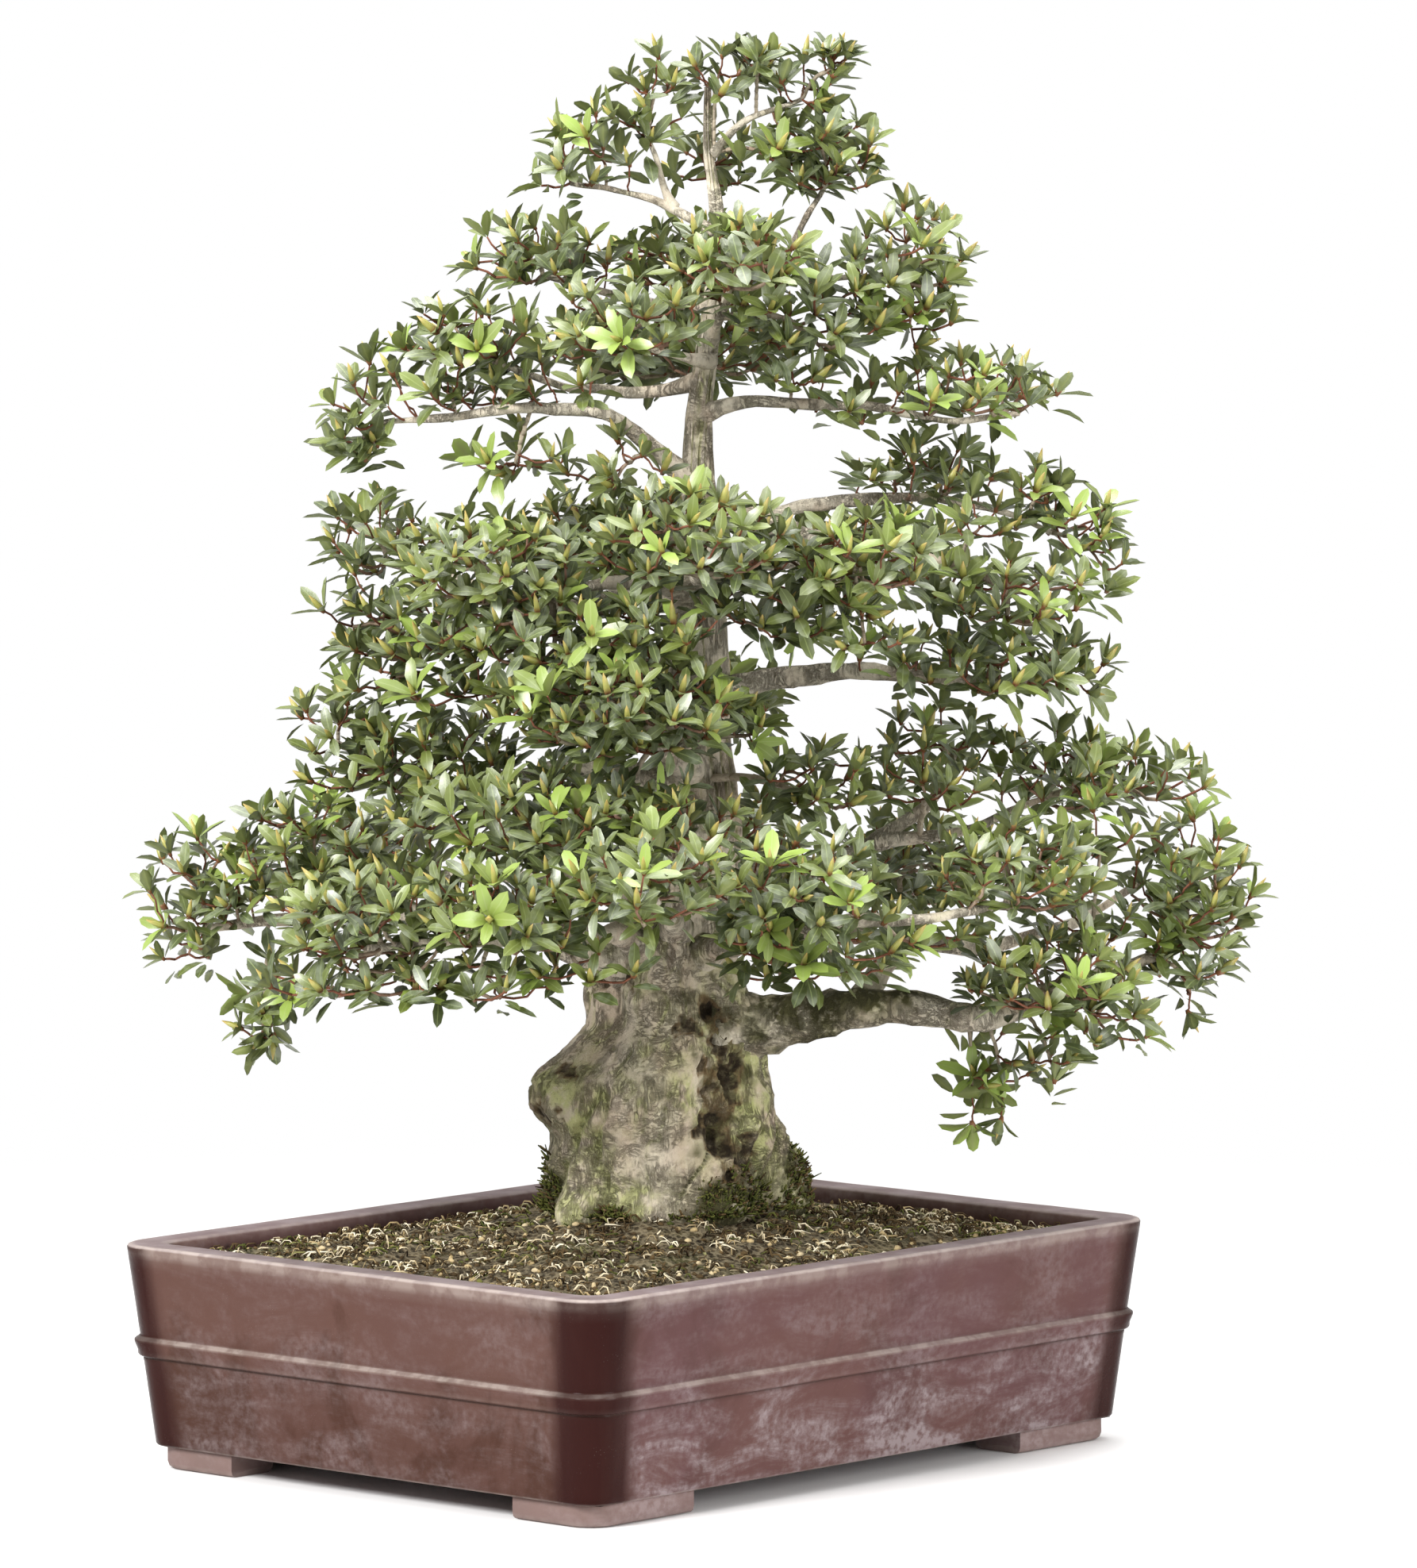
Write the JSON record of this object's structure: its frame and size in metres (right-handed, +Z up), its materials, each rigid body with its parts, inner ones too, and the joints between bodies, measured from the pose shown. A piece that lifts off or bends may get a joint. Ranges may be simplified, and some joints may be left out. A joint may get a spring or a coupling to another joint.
{
  "type": "bonsai tree in a pot",
  "caption": "Old satsuki azalea bonsai with a thick tapering trunk, tiered sprays of small leaves and pointed buds, in a rectangular unglazed pot.",
  "frame": {"origin": "middle of the pot's footprint, on the surface that it stands on", "axes": "+Z up, +X along the pot's long side; the tree's shown side faces -X and -Y, across the pot's near corner"},
  "size_m": [0.4978, 0.5545, 0.8073],
  "materials": {
    "clay": "unglazed, worn, with a chalky bloom",
    "soil": "loose soil under dry moss",
    "bark": "pale fissured bark with moss",
    "foliage": "semi-gloss leaves",
    "screen": "moulded mesh"
  },
  "bodies": {
    "root": {"foot_back_left": "clay", "foot_back_right": "clay", "foot_front_left": "clay", "foot_front_right": "clay", "pot": "clay", "screen_left": "screen", "screen_right": "screen", "soil": "soil", "spray_apex": "foliage", "spray_apex_right": "foliage", "spray_crown_back": "foliage", "spray_crown_left": "foliage", "spray_crown_right": "foliage", "spray_left_tip": "foliage", "spray_low_back": "foliage", "spray_low_back_left": "foliage", "spray_low_front": "foliage", "spray_low_front_left": "foliage", "spray_low_front_right": "foliage", "spray_low_left": "foliage", "spray_low_left_droop": "foliage", "spray_low_left_front": "foliage", "spray_low_left_tip": "foliage", "spray_low_mid_back": "foliage", "spray_low_mid_front": "foliage", "spray_low_mid_left_tip": "foliage", "spray_low_mid_left_under": "foliage", "spray_low_right_back": "foliage", "spray_low_right_droop": "foliage", "spray_low_right_front": "foliage", "spray_low_right_tip": "foliage", "spray_low_right_top": "foliage", "spray_low_right_under": "foliage", "spray_low_right_upper": "foliage", "spray_mid_back": "foliage", "spray_mid_front": "foliage", "spray_mid_left_front": "foliage", "spray_mid_left_low": "foliage", "spray_mid_left_tip": "foliage", "spray_mid_right_back": "foliage", "spray_mid_right_end": "foliage", "spray_mid_right_front": "foliage", "spray_mid_right_low": "foliage", "spray_mid_right_tip": "foliage", "spray_mid_right_top": "foliage", "spray_shelf_right": "foliage", "spray_shoulder_back": "foliage", "spray_shoulder_left": "foliage", "spray_shoulder_tip": "foliage", "spray_upper_back": "foliage", "spray_upper_front": "foliage", "spray_upper_left": "foliage", "spray_upper_left_front": "foliage", "spray_upper_right": "foliage", "trunk": "bark"}
  },
  "joints": []
}
